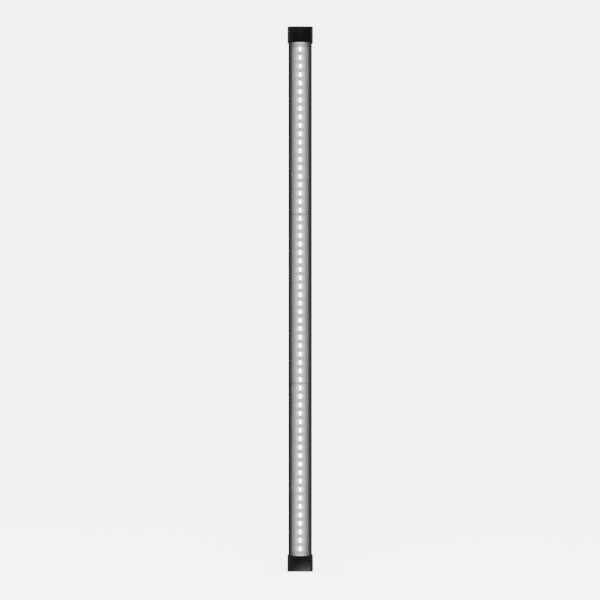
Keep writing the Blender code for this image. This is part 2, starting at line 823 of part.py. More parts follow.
def driver_inductor():
    across, height, length = INDUCTOR_SIZE
    mesh = prism(
        "driver_inductor", rounded_rectangle(across, length, INDUCTOR_CORNER), 0, height, smooth=True
    )
    coil = add_object("driver_inductor", mesh, ferrite())
    coil.rotation_euler = (math.pi / 2, 0, 0)
    coil.location = (0, DRIVER_FRONT - FIT_GAP, DRIVER_START + INDUCTOR_ALONG)


def driver_capacitor():
    radius = CAPACITOR_DIAMETER / 2
    mesh = round_bar("driver_capacitor", radius, 0, CAPACITOR_LENGTH, TURNED_SIDES)
    can = add_object("driver_capacitor", mesh, capacitor_sleeve())
    low = DRIVER_START + CAPACITOR_ALONG - CAPACITOR_LENGTH / 2
    can.location = (0, DRIVER_FRONT - FIT_GAP - radius, low)


def driver():
    driver_slab("driver_pad", DRIVER_PAD_FRONT, DRIVER_PAD_THICKNESS, thermal_pad())
    driver_slab("driver_board", DRIVER_FRONT, DRIVER_THICKNESS, green_board())
    component("driver_chip", CHIP_SIZE, 0, CHIP_ALONG, black_epoxy())
    component("driver_diode", DIODE_SIZE, 0, DIODE_ALONG, black_epoxy())
    driver_inductor()
    driver_capacitor()


# ---------------------------------------------------------------- leads
def smooth_route(points, count):
    """Evenly stepped points on a Catmull-Rom curve through the given ones."""
    ends = [points[0]] + points + [points[-1]]
    spans = len(points) - 1
    route = []
    for i in range(count):
        place = spans * i / (count - 1)
        span = min(int(place), spans - 1)
        t = place - span
        a, b, c, d = ends[span : span + 4]
        route.append([
            0.5 * (2 * q + (r - p) * t + (2 * p - 5 * q + 4 * r - s) * t ** 2
                   + (3 * q - p - 3 * r + s) * t ** 3)
            for p, q, r, s in zip(a, b, c, d)
        ])
    return route


def lead(name, points, finish):
    curve = bpy.data.curves.new(name, "CURVE")
    curve.dimensions = "3D"
    curve.bevel_depth = LEAD_RADIUS
    curve.bevel_resolution = 2
    curve.use_fill_caps = True
    spline = curve.splines.new("POLY")
    route = smooth_route(points, LEAD_POINTS)
    spline.points.add(len(route) - 1)
    for point, place in zip(spline.points, route):
        point.co = (*place, 1.0)
    curve.materials.append(finish)
    obj = bpy.data.objects.new(name, curve)
    bpy.context.scene.collection.objects.link(obj)


def supply_lead(side, direction, positive):
    """From the tail of an inlet pin, back past the web's notch, to the driver board."""
    start = PIN_BACK + FIT_GAP
    rise = DRIVER_START - start
    x0 = direction * PIN_SPACING / 2
    x1 = direction * SUPPLY_PAD_X
    points = [
        (x0 + (x1 - x0) * back, LEAD_ON_DRIVER * back, start + rise * up)
        for back, up in SUPPLY_ROUTE
    ]
    points.append((x1, LEAD_ON_DRIVER, DRIVER_START + LEAD_ON_PAD))
    lead(f"supply_lead_{side}", points, lead_sleeve(positive))


def output_lead(side, direction, positive):
    """From the driver board down through the web's notch and up onto the first LED board."""
    x = direction * OUTPUT_PAD_X
    notch_z = BODY_FROM_END + FIT_GAP + LEAD_DIAMETER
    board_low = board_ends(0)[0]
    web_middle = (WEB_FRONT + WEB_BACK) / 2
    points = [
        (x, LEAD_ON_DRIVER, DRIVER_START + LEAD_ON_PAD),
        (x, LEAD_ON_DRIVER, DRIVER_START - LEAD_DIAMETER),
        (x, (LEAD_ON_DRIVER + WEB_BACK) / 2 + LEAD_RADIUS, (DRIVER_START + notch_z) / 2),
        (x, WEB_BACK + LEAD_DIAMETER, notch_z + 2 * LEAD_DIAMETER),
        (x, web_middle, notch_z),
        (x, (web_middle + LEAD_ON_LED_BOARD) / 2, notch_z - FIT_GAP),
        (x, LEAD_ON_LED_BOARD, board_low - LEAD_RADIUS),
        (x, LEAD_ON_LED_BOARD, board_low + LEAD_ON_PAD),
    ]
    lead(f"output_lead_{side}", points, lead_sleeve(positive))


# ---------------------------------------------------------------- the whole light
def clear_scene():
    for obj in list(bpy.data.objects):
        bpy.data.objects.remove(obj, do_unlink=True)


def build():
    clear_scene()
    housing_profile()
    lens_cover()
    for side, direction in (("left", -1), ("right", 1)):
        lens_seal(side, direction)
    for number in range(BOARD_COUNT):
        thermal_pad_strip(number)
        led_board(number)
        led_row(number)
    for joint in range(1, BOARD_COUNT):
        for side, direction in (("left", -1), ("right", 1)):
            board_link(joint, side, direction)
    closed_end("bottom")
    closed_end("top")
    inlet_socket()
    inlet_seal_ring()
    inlet_nut()
    driver()
    for side, direction, positive in (("neg", -1, False), ("pos", 1, True)):
        inlet_pin(side, direction * PIN_SPACING / 2)
        supply_lead(side, direction, positive)
        output_lead(side, direction, positive)


build()
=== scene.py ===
# %% [markdown]
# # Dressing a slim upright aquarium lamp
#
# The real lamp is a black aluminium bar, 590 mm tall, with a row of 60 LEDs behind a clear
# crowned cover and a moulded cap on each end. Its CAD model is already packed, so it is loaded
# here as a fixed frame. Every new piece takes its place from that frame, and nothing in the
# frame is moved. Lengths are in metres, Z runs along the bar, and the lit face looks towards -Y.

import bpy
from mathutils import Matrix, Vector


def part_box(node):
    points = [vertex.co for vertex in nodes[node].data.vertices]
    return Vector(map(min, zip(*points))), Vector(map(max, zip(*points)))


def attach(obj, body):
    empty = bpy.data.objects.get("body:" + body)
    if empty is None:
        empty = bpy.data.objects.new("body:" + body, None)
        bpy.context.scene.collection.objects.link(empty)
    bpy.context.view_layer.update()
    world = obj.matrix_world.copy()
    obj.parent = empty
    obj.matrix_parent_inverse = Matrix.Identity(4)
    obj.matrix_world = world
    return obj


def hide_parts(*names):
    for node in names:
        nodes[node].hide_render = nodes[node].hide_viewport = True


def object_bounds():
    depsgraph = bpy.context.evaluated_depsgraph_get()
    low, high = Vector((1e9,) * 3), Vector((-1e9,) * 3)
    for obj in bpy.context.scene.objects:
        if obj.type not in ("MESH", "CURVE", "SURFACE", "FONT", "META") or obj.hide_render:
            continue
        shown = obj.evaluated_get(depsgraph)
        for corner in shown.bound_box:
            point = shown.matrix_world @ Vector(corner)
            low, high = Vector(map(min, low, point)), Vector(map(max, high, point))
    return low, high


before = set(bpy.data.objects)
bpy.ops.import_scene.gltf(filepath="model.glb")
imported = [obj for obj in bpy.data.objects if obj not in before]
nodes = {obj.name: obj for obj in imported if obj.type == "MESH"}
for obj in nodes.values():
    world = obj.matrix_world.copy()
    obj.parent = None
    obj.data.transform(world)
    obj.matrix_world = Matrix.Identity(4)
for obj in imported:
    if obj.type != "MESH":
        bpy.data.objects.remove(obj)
cad_low, cad_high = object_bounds()
print(f"{len(nodes)} CAD nodes, {(cad_high.z - cad_low.z) * 1000:.1f} mm tall")

# %% [markdown]
# ## The camera
#
# The lamp is seen straight on, from far away, so that its sides stay parallel. An orthographic
# camera would do that too, but a long lens keeps a little depth, and it still works when the
# camera is carried round to the back. The lamp fills 91 % of the picture's height, and its
# middle sits a hair above and to the right of the picture's middle.

# %% Place the camera
import math

import bmesh
import bpy
from mathutils import Matrix, Vector

LENS = 150.0
SENSOR = 36.0
SHARE_OF_HEIGHT = 0.91
OFF_CENTRE = (-0.0002, -0.0011)  # of the camera from the lamp's middle, across and up

height = cad_high.z - cad_low.z
middle = (cad_low + cad_high) / 2
distance = height / SHARE_OF_HEIGHT / 2 / (SENSOR / 2 / LENS)

camera_data = bpy.data.cameras.new("camera")
camera_data.lens = LENS
camera_data.sensor_width = SENSOR
camera_data.clip_end = 100.0
camera = bpy.data.objects.new("camera", camera_data)
camera.location = (middle.x + OFF_CENTRE[0], cad_low.y - distance, middle.z + OFF_CENTRE[1])
camera.rotation_euler = (math.pi / 2, 0, 0)
bpy.context.scene.collection.objects.link(camera)
bpy.context.scene.camera = camera
print(f"camera {distance:.2f} m in front of the lamp")

# %% [markdown]
# ## A way to write materials
#
# Each material here is procedural: a few noises, in real sizes, drive the colour, the roughness
# and a fine relief. A small class keeps the node tree readable. Its methods are named for what
# they do to the surface, and each returns a socket that the next one can take.


# %% The material builder
class Finish:
    """A procedural material, built node by node round a Principled shader."""

    def __init__(self, name):
        self.material = bpy.data.materials.new(name)
        self.material.use_nodes = True
        self.tree = self.material.node_tree
        self.shader = self.tree.nodes["Principled BSDF"]
        self.output = self.tree.nodes["Material Output"]
        self.place = self.node("TexCoord").outputs["Object"]

    def node(self, kind, **settings):
        made = self.tree.nodes.new("ShaderNode" + kind)
        for key, value in settings.items():
            setattr(made, key, value)
        return made

    def feed(self, socket, value):
        """Link a socket, or set it where the value is a plain number or colour."""
        if isinstance(value, bpy.types.NodeSocket):
            self.tree.links.new(value, socket)
        else:
            socket.default_value = value

    def set(self, **values):
        """Feed the shader's own sockets: base_color=..., roughness=..."""
        for key, value in values.items():
            name = key.replace("_", " ").title().replace("Ior", "IOR")
            self.feed(self.shader.inputs[name], value)
        return self

    def math(self, operation, first, second=0.0):
        made = self.node("Math", operation=operation)
        self.feed(made.inputs[0], first)
        self.feed(made.inputs[1], second)
        return made.outputs[0]

    def noise(self, size, stretch=(1, 1, 1), detail=2.0, roughness=0.5):
        """Noise from 0 to 1 with blobs about size metres across, longer where stretch is over 1."""
        mapping = self.node("Mapping")
        self.feed(mapping.inputs["Vector"], self.place)
        mapping.inputs["Scale"].default_value = [1 / (size * s) for s in stretch]
        made = self.node("TexNoise")
        self.feed(made.inputs["Vector"], mapping.outputs[0])
        made.inputs["Scale"].default_value = 1.0
        made.inputs["Detail"].default_value = detail
        made.inputs["Roughness"].default_value = roughness
        return made.outputs["Fac"]

    def cells(self, size, feature="F1"):
        """Distance to the nearest of the grains that are about size metres apart."""
        made = self.node("TexVoronoi", feature=feature)
        self.feed(made.inputs["Vector"], self.place)
        made.inputs["Scale"].default_value = 1 / size
        return made.outputs["Distance"]

    def between(self, value, low, high, start=0.3, end=0.7):
        """Carry value from start..end over to low..high, eased and held at both ends."""
        made = self.node("MapRange", interpolation_type="SMOOTHSTEP")
        self.feed(made.inputs["Value"], value)
        made.inputs["From Min"].default_value = start
        made.inputs["From Max"].default_value = end
        made.inputs["To Min"].default_value = low
        made.inputs["To Max"].default_value = high
        return made.outputs["Result"]

    def tint(self, value, first, second):
        """A colour that goes from first to second as value goes from 0 to 1."""
        made = self.node("Mix", data_type="RGBA")
        self.feed(made.inputs[0], value)
        self.feed(made.inputs[6], (*first, 1) if isinstance(first, tuple) else first)
        self.feed(made.inputs[7], (*second, 1) if isinstance(second, tuple) else second)
        return made.outputs[2]

    def relief(self, height, depth):
        """A bump as deep as depth metres where the height goes from 0 to 1."""
        made = self.node("Bump")
        made.inputs["Distance"].default_value = depth
        self.feed(made.inputs["Height"], height)
        self.feed(self.shader.inputs["Normal"], made.outputs[0])
        return made.outputs[0]

    def axes(self):
        """The object's own x, y and z at a point."""
        made = self.node("SeparateXYZ")
        self.feed(made.inputs[0], self.place)
        return made.outputs


def speckled(name, dark, light, size, roughness=(0.4, 0.6), depth=0.00001, stretch=(1, 1, 1), **sockets):
    """A plain finish: colour and roughness drift over blobs, with a fine relief of its own."""
    finish = Finish(name)
    drift = finish.noise(size * 12, stretch, detail=3)
    grain = finish.noise(size, stretch, detail=2, roughness=0.6)
    both = finish.math("MULTIPLY_ADD", drift, 0.5)
    finish.feed(both.node.inputs[2], finish.math("MULTIPLY", grain, 0.5))
    colour = finish.tint(finish.between(both, 0, 1, 0.35, 0.65), dark, light)
    finish.set(base_color=colour, roughness=finish.between(grain, *roughness), **sockets)
    finish.relief(grain, depth)
    return finish


print("builder ready")

# %% [markdown]
# ## Black anodised aluminium
#
# The bar is an extrusion, drawn through a die and then anodised black. The die leaves fine
# straight lines along the bar, and the dye takes a little unevenly. Noise that is stretched
# 150 times along Z gives the die lines, and a slow noise gives the drift of the dye. The crowned
# cover stands proud of the bar, so light leaks sideways over the two front rails. It is painted
# as a faint emission in the surface's own colour, and it fades out before the rounded corner.


# %% Anodised finish
DIE_LINE = 0.00022  # width of one line that the die leaves
DIE_STRETCH = 150  # how many times longer than wide the lines are
DYE_BLOB = 0.018
LEAK_REACH = (0.0088, 0.0116)  # from the bar's middle: full light, then none
LEAK_DEPTH = (-0.0096, -0.0084)  # behind the lit face: full light, then none
LEAK = 2.6


def black_anodised():
    finish = Finish("black_anodised")
    lines = finish.noise(DIE_LINE, (1, 1, DIE_STRETCH), detail=3, roughness=0.6)
    dye = finish.noise(DYE_BLOB, (1, 1, 2.5), detail=3)
    colour = finish.tint(finish.between(dye, 0, 1), (0.019, 0.0195, 0.0207), (0.025, 0.0255, 0.027))
    streaked = finish.tint(finish.between(lines, 0, 0.5, 0.45, 0.75), colour, (0.038, 0.0385, 0.0405))
    finish.set(base_color=streaked, specular_ior_level=0.12)
    finish.set(roughness=finish.between(lines, 0.40, 0.55))
    x, y, _ = finish.axes()
    leak = finish.between(finish.math("ABSOLUTE", x), 1, 0, *LEAK_REACH)
    leak = finish.math("MULTIPLY", leak, finish.between(y, 1, 0, *LEAK_DEPTH))
    finish.set(emission_color=finish.tint(leak, (0, 0, 0), streaked), emission_strength=LEAK)
    finish.relief(lines, 0.000012)
    return finish.material


print(f"die lines {DIE_LINE * 1000:.2f} mm wide, light leaks out to x = {LEAK_REACH[1] * 1000:.1f} mm")

# %% [markdown]
# ## Black moulded plastic
#
# The caps are injection moulded. A spark-eroded mould gives a very fine even grain, so the
# colour is close to one black and the grain lives in the relief. Flow inside the mould leaves
# slow changes of gloss.


# %% Moulded finish
MOULD_GRAIN = 0.00035
MOULD_FLOW = 0.006


def black_moulding():
    finish = Finish("black_moulding")
    grain = finish.cells(MOULD_GRAIN, "SMOOTH_F1")
    flow = finish.noise(MOULD_FLOW, (1, 1, 2), detail=3)
    black = finish.tint(finish.between(flow, 0, 1), (0.0018, 0.0019, 0.0022), (0.0028, 0.0029, 0.0034))
    finish.set(base_color=black, roughness=finish.between(flow, 0.20, 0.27))
    finish.relief(grain, 0.00002)
    return finish.material


print(f"mould grain {MOULD_GRAIN * 1000:.2f} mm apart")

# %% [markdown]
# ## Clear cover
#
# A solid block of glass shader would bend the light twice and leave noise on the board behind
# it. The cover is thin, so light passes nearly straight: a Transparent shader mixed with a
# Glossy one gives the same look with no noise. A Fresnel node would turn the inner faces into
# mirrors, because it takes light that leaves the plastic to be trapped in it, so the share that
# is mirrored is worked out from Layer Weight, which is the same on both sides. Drying water
# leaves a faint film, which is a third shader under a soft mask.


# %% Clear finish
HEAD_ON = 0.035  # share of light that clear plastic mirrors when seen straight on
PULL_LINE = 0.0016  # width of the faint waves that extruding leaves
PULL_STRETCH = 40
FILM_BLOB = 0.009


def clear_plastic(name, tint, gloss, film):
    finish = Finish(name)
    finish.tree.nodes.remove(finish.shader)
    pull = finish.noise(PULL_LINE, (1, 1, PULL_STRETCH), detail=2)
    bump = finish.node("Bump")
    bump.inputs["Distance"].default_value = 0.00002
    finish.feed(bump.inputs["Height"], pull)
    weight = finish.node("LayerWeight")
    weight.inputs["Blend"].default_value = 0.5
    finish.feed(weight.inputs["Normal"], bump.outputs[0])
    grazing = finish.math("POWER", weight.outputs["Facing"], 5)
    mirrored = finish.math("ADD", finish.math("MULTIPLY", grazing, 1 - HEAD_ON), HEAD_ON)
    through = finish.node("BsdfTransparent")
    through.inputs["Color"].default_value = (*tint, 1)
    shine = finish.node("BsdfGlossy")
    finish.feed(shine.inputs["Roughness"], finish.between(pull, gloss, gloss * 1.6))
    finish.feed(shine.inputs["Normal"], bump.outputs[0])
    haze = finish.node("BsdfDiffuse")
    haze.inputs["Color"].default_value = (0.8, 0.82, 0.84, 1)
    dried = finish.noise(FILM_BLOB, (1, 1, 1.6), detail=5, roughness=0.65)
    marks = finish.between(dried, 0, film, 0.45, 0.8)
    filmed = finish.node("MixShader")
    finish.feed(filmed.inputs[0], marks)
    finish.feed(filmed.inputs[1], through.outputs[0])
    finish.feed(filmed.inputs[2], haze.outputs[0])
    surface = finish.node("MixShader")
    finish.feed(surface.inputs[0], mirrored)
    finish.feed(surface.inputs[1], filmed.outputs[0])
    finish.feed(surface.inputs[2], shine.outputs[0])
    finish.feed(finish.output.inputs["Surface"], surface.outputs[0])
    return finish.material


print(f"clear plastic mirrors {HEAD_ON:.1%} straight on")

# %% [markdown]
# ## The lit board
#
# The LED boards are aluminium cored, with a silver-grey solder mask over the tracks. Light from
# the LEDs spills over the mask, strongest beside each LED and weak under the rails. Sixty small
# lamps could be left to do that by themselves, but that takes many samples to settle. The spill
# is painted as a soft emission instead. It falls with the distance from the row, a cosine along
# the row makes it a little stronger beside each LED, and real shading is added to it.

# %% Sizes of the LED row
first_low, first_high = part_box("led_row_1")
last_low, last_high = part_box("led_row_3")
ROWS = ("led_row_1", "led_row_2", "led_row_3")
LEDS_PER_ROW = 20
LENS_RADIUS = (first_high.x - first_low.x) / 2
FIRST_LED = first_low.z + LENS_RADIUS
PITCH = (last_high.z - LENS_RADIUS - FIRST_LED) / (len(ROWS) * LEDS_PER_ROW - 1)
BOARD_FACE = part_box("led_board_1")[0].y
WINDOW_HALF = 0.0090
print(f"{len(ROWS) * LEDS_PER_ROW} LEDs, {PITCH * 1000:.2f} mm apart, first at {FIRST_LED * 1000:.1f} mm")


# %% Board finish
SUPPLY_TRACE_X = 0.0068  # middle of the wide track on each side, under the mask
SUPPLY_TRACE_EDGE = (0.0013, 0.0015)  # from its middle: still full height, then none
SPILL_FALL = 1.6
SPILL_PATCHES = 0.6  # how much stronger the spill is beside an LED than between two


def spilled_light(finish, edge, centre):
    """Emission that grows from the window's edge to the row, most of all beside each LED."""
    x, _, z = finish.axes()
    near = finish.between(finish.math("ABSOLUTE", x), 1, 0, 0, WINDOW_HALF)
    turns = finish.math("MULTIPLY", finish.math("SUBTRACT", z, FIRST_LED), math.tau / PITCH)
    wave = finish.math("MULTIPLY", finish.math("COSINE", turns), finish.math("POWER", near, 2))
    uneven = finish.math("ADD", finish.math("MULTIPLY", wave, SPILL_PATCHES), 1)
    share = finish.math("MULTIPLY", finish.math("POWER", near, SPILL_FALL), uneven)
    return finish.tint(share, edge, centre)


def board_mask():
    finish = Finish("board_mask")
    mask = finish.noise(0.00045, detail=3, roughness=0.6)
    cloud = finish.noise(0.010, (1, 1, 2), detail=3)
    x = finish.axes()["X"]
    from_trace = finish.math("SUBTRACT", finish.math("ABSOLUTE", x), SUPPLY_TRACE_X)
    trace = finish.between(finish.math("ABSOLUTE", from_trace), 1, 0, *SUPPLY_TRACE_EDGE)
    grey = finish.tint(finish.between(cloud, 0, 1), (0.30, 0.31, 0.32), (0.36, 0.37, 0.38))
    grey = finish.tint(finish.math("MULTIPLY", trace, 0.25), grey, (0.44, 0.44, 0.45))
    finish.set(base_color=grey, roughness=finish.between(mask, 0.38, 0.55), metallic=0.2)
    finish.set(emission_color=spilled_light(finish, (0.055, 0.0555, 0.058), (1.24, 1.245, 1.25)))
    finish.set(emission_strength=1.0)
    height = finish.math("ADD", finish.math("MULTIPLY", mask, 0.25), trace)
    finish.relief(height, 0.00003)
    return finish.material


print(f"light spills over {WINDOW_HALF * 2000:.0f} mm of board")

# %% [markdown]
# ## LED finishes
#
# The package is white moulded plastic with a painted glow. The phosphor glows far brighter than anything
# round it.
# Its grains are a little uneven.


# %% White package, phosphor, metal and small parts
PHOSPHOR_GLOW = 16.0
# strength of the painted glow on the white package, which stands in for the phosphor's light
PACKAGE_PAINTED_GLOW = 1.3


def glowing_phosphor():
    finish = Finish("glowing_phosphor")
    grains = finish.noise(0.0003, detail=2)
    warm = finish.tint(finish.between(grains, 0, 1), (1.0, 0.985, 0.95), (0.97, 0.99, 1.0))
    finish.set(base_color=(0.85, 0.80, 0.55, 1), roughness=finish.between(grains, 0.5, 0.7))
    finish.set(emission_color=warm, emission_strength=PHOSPHOR_GLOW)
    return finish.material


def white_package():
    dull, bright = (0.74, 0.74, 0.73), (0.84, 0.84, 0.83)
    finish = speckled("white_package", dull, bright, 0.0002, (0.35, 0.5))
    # painted glow: an even emission stands in for the phosphor's light scattered in the white frame
    finish.set(emission_color=(1, 1, 1, 1), emission_strength=PACKAGE_PAINTED_GLOW)
    return finish.material


def capacitor_sleeve():
    finish = Finish("capacitor_sleeve")
    wrinkles = finish.noise(0.0012, (1, 1, 3), detail=3)
    stripe = finish.between(finish.axes()["X"], 0, 1, 0.0015, 0.0016)
    colour = finish.tint(stripe, (0.012, 0.012, 0.016), (0.45, 0.46, 0.46))
    finish.set(base_color=colour, roughness=finish.between(wrinkles, 0.25, 0.38))
    finish.relief(wrinkles, 0.00004)
    return finish.material


def green_board():
    finish = Finish("green_board")
    weave = finish.node("TexWave", wave_type="BANDS", bands_direction="DIAGONAL")
    finish.feed(weave.inputs["Vector"], finish.place)
    weave.inputs["Scale"].default_value = 300.0
    blobs = finish.noise(0.003, detail=3)
    colour = finish.tint(finish.between(blobs, 0, 1), (0.012, 0.090, 0.035), (0.020, 0.130, 0.050))
    colour = finish.tint(finish.math("MULTIPLY", weave.outputs["Fac"], 0.18), colour, (0.03, 0.17, 0.08))
    finish.set(base_color=colour, roughness=finish.between(blobs, 0.28, 0.40))
    finish.relief(weave.outputs["Fac"], 0.00001)
    return finish.material


SOLDER = speckled(
    "solder", (0.52, 0.53, 0.54), (0.68, 0.69, 0.70), 0.0003, (0.22, 0.42), 0.00005, metallic=1.0
)
STAINLESS = speckled(
    "stainless", (0.48, 0.48, 0.47), (0.62, 0.61, 0.60), 0.0002, (0.20, 0.36), 0.00002, metallic=1.0
)
BRASS = speckled(
    "plated_brass", (0.62, 0.45, 0.18), (0.74, 0.56, 0.26), 0.0002, (0.18, 0.34), 0.00001, metallic=1.0
)
SILICONE = speckled(
    "clear_silicone", (0.42, 0.43, 0.44), (0.55, 0.56, 0.57), 0.0004, (0.32, 0.48), 0.00002,
    stretch=(1, 1, 20), transmission_weight=0.25,
)
RUBBER = speckled(
    "black_rubber", (0.012, 0.012, 0.012), (0.022, 0.022, 0.023), 0.00025, (0.62, 0.82), 0.00004
)
PAD = speckled("thermal_pad", (0.20, 0.25, 0.30), (0.27, 0.32, 0.37), 0.0003, (0.6, 0.8), 0.00003)
EPOXY = speckled(
    "black_epoxy", (0.014, 0.014, 0.015), (0.026, 0.026, 0.028), 0.00015, (0.45, 0.65), 0.00002
)
FERRITE = speckled(
    "ferrite", (0.035, 0.035, 0.038), (0.060, 0.060, 0.064), 0.00025, (0.55, 0.80), 0.00004
)
SOCKET = speckled(
    "socket_moulding", (0.008, 0.008, 0.009), (0.014, 0.014, 0.015), 0.0003, (0.28, 0.42), 0.00002
)
LEAD_BLACK = speckled(
    "lead_black", (0.010, 0.010, 0.011), (0.018, 0.018, 0.019), 0.0004, (0.35, 0.5), 0.00003
)
LEAD_RED = speckled("lead_red", (0.38, 0.012, 0.010), (0.50, 0.022, 0.018), 0.0004, (0.35, 0.5), 0.00003)
print("finishes ready")

# %% [markdown]
# ## Dressing the CAD nodes
#
# A CAD node arrives as loose flat triangles, which show as facets on every rounded corner. Its
# mesh has to stay as it is, but a modifier may work on it. This one merges the corners that
# meet and shades smooth across any edge that bends less than 32 degrees, so that rounds look
# round and true edges stay crisp.

# %% Smooth the frame's rounds
SMOOTH_UNDER = math.radians(32)
MERGE_UNDER = 0.000002


def smoothing_group():
    group = bpy.data.node_groups.new("merge_and_smooth", "GeometryNodeTree")
    group.interface.new_socket("Geometry", in_out="INPUT", socket_type="NodeSocketGeometry")
    group.interface.new_socket("Geometry", in_out="OUTPUT", socket_type="NodeSocketGeometry")
    add, link = group.nodes.new, group.links.new
    start, end = add("NodeGroupInput"), add("NodeGroupOutput")
    merge = add("GeometryNodeMergeByDistance")
    merge.inputs["Distance"].default_value = MERGE_UNDER
    faces = add("GeometryNodeSetShadeSmooth")
    faces.domain = "FACE"
    angle = add("GeometryNodeInputMeshEdgeAngle")
    sharp = add("FunctionNodeCompare")
    sharp.operation = "GREATER_THAN"
    sharp.inputs["B"].default_value = SMOOTH_UNDER
    edges = add("GeometryNodeSetShadeSmooth")
    edges.domain = "EDGE"
    edges.inputs["Shade Smooth"].default_value = False
    link(start.outputs[0], merge.inputs["Geometry"])
    link(merge.outputs[0], faces.inputs["Geometry"])
    link(angle.outputs["Unsigned Angle"], sharp.inputs["A"])
    link(sharp.outputs[0], edges.inputs["Selection"])
    link(faces.outputs[0], edges.inputs["Geometry"])
    link(edges.outputs[0], end.inputs[0])
    return group


SMOOTHING = smoothing_group()


def dress(names, material):
    """Give CAD nodes a material and smooth rounds."""
    for name in names:
        node = nodes[name]
        for i in range(len(node.material_slots)):
            node.material_slots[i].material = material
        smooth = node.modifiers.new("smooth_rounds", "NODES")
        smooth.node_group = SMOOTHING


def starting(*words):
    return sorted(n for n in nodes if n.startswith(words))


dress(["housing_profile"], black_anodised())
dress(starting("end_cap"), black_moulding())
dress(starting("led_board"), board_mask())
dress(starting("lens_seal"), SILICONE.material)
dress(starting("thermal_pad", "driver_pad"), PAD.material)
dress(starting("board_link"), SOLDER.material)
dress(starting("gasket", "inlet_seal"), RUBBER.material)
dress(["inlet_nut"], STAINLESS.material)
dress(["inlet_socket"], SOCKET.material)
dress(starting("inlet_pin"), BRASS.material)
dress(["driver_board"], green_board())
dress(["driver_chip", "driver_diode"], EPOXY.material)
dress(["driver_inductor"], FERRITE.material)
dress(["driver_capacitor"], capacitor_sleeve())
dress(["supply_lead_neg", "output_lead_neg"], LEAD_BLACK.material)
dress(["supply_lead_pos", "output_lead_pos"], LEAD_RED.material)
print("CAD nodes dressed")

# %% [markdown]
# ## From a bmesh to a piece of the lamp
#
# Every new piece ends the same way: its faces are turned outwards, it becomes an object at the
# origin, its rounds are shaded smooth, and it is told which body it rides with.


# %% Finish a piece
def piece(name, bm, material, replaced=()):
    bmesh.ops.recalc_face_normals(bm, faces=bm.faces)
    mesh = bpy.data.meshes.new(name)
    bm.to_mesh(mesh)
    bm.free()
    mesh.materials.append(material)
    mesh.shade_smooth()
    mesh.set_sharp_from_angle(angle=SMOOTH_UNDER)
    made = bpy.data.objects.new(name, mesh)
    bpy.context.scene.collection.objects.link(made)
    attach(made, "root")
    if replaced:
        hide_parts(*replaced)
    print(f"{name}: {len(mesh.polygons)} faces")
    return made


# %% [markdown]
# ## The crowned cover
#
# The cover is one clear extrusion: a crown that stands a little proud of the rails, and a tongue
# on each side that slides in the bar's groove. One upright edge is spun about the crown's own
# axis to sweep the inner skin. That skin is extruded forwards to give the thickness, and the
# lower part of each side is extruded outwards to give the tongues.

# %% Model the cover
cover_low, cover_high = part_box("lens_cover")
CROWN_HALF = 0.0087
CROWN_RISE = 0.0015
TONGUE_THICKNESS = 0.0015
CROWN_STEPS = 28
COVER_TINT = (0.955, 0.965, 0.965)
NEAR = 1e-6

crown_radius = (CROWN_HALF**2 + CROWN_RISE**2) / (2 * CROWN_RISE)
crown_axis = Vector((0, cover_high.y + crown_radius - CROWN_RISE, 0))
crown_angle = 2 * math.asin(CROWN_HALF / crown_radius)
crown_depth = cover_high.y - cover_low.y - CROWN_RISE

bm = bmesh.new()
foot = bm.verts.new((-CROWN_HALF, cover_high.y, cover_low.z))
head = bm.verts.new((-CROWN_HALF, cover_high.y, cover_high.z))
edge = bm.edges.new((foot, head))
bmesh.ops.spin(
    bm, geom=[foot, head, edge], cent=crown_axis, axis=(0, 0, 1), angle=crown_angle, steps=CROWN_STEPS
)
skin = bmesh.ops.extrude_face_region(bm, geom=bm.faces[:])
moved = [e for e in skin["geom"] if isinstance(e, bmesh.types.BMVert)]
bmesh.ops.translate(bm, verts=moved, vec=(0, -crown_depth, 0))
bmesh.ops.bisect_plane(
    bm,
    geom=bm.verts[:] + bm.edges[:] + bm.faces[:],
    plane_co=(0, cover_high.y - TONGUE_THICKNESS, 0),
    plane_no=(0, 1, 0),
)
for side in (-1, 1):
    bm.normal_update()
    face = [
        f for f in bm.faces
        if abs(f.calc_center_median().x - side * CROWN_HALF) < NEAR
        and f.calc_center_median().y > cover_high.y - TONGUE_THICKNESS
    ]
    tongue = bmesh.ops.extrude_face_region(bm, geom=face)
    moved = [e for e in tongue["geom"] if isinstance(e, bmesh.types.BMVert)]
    bmesh.ops.translate(bm, verts=moved, vec=(side * (cover_high.x - CROWN_HALF), 0, 0))
    bmesh.ops.delete(bm, geom=face, context="FACES")
piece("clear_cover", bm, clear_plastic("clear_cover", COVER_TINT, 0.10, 0.06), ["lens_cover"])

# %% [markdown]
# ## Working forwards from the board
#
# Everything on the boards faces -Y, while bmesh makes its circles and boxes round the Z axis.
# Each small part is therefore modelled lying flat, with its front up, and stood up at the end by
# one turn. Making one LED and copying it sixty times would need sixty mesh copies in any case,
# so the same few operators are simply run again at each place.


# %% Helpers for the parts on the boards
SAME_PLACE = 1e-7


def stand_up(x, z, y=BOARD_FACE):
    """Turn a part that lies flat, front up, towards -Y, and put its foot at (x, y, z)."""
    return Matrix.Translation((x, y, z)) @ Matrix.Rotation(math.pi / 2, 4, "X")


def led_heights(row):
    low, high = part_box(row)
    step = (high.z - low.z - 2 * LENS_RADIUS) / (LEDS_PER_ROW - 1)
    return [low.z + LENS_RADIUS + step * i for i in range(LEDS_PER_ROW)]


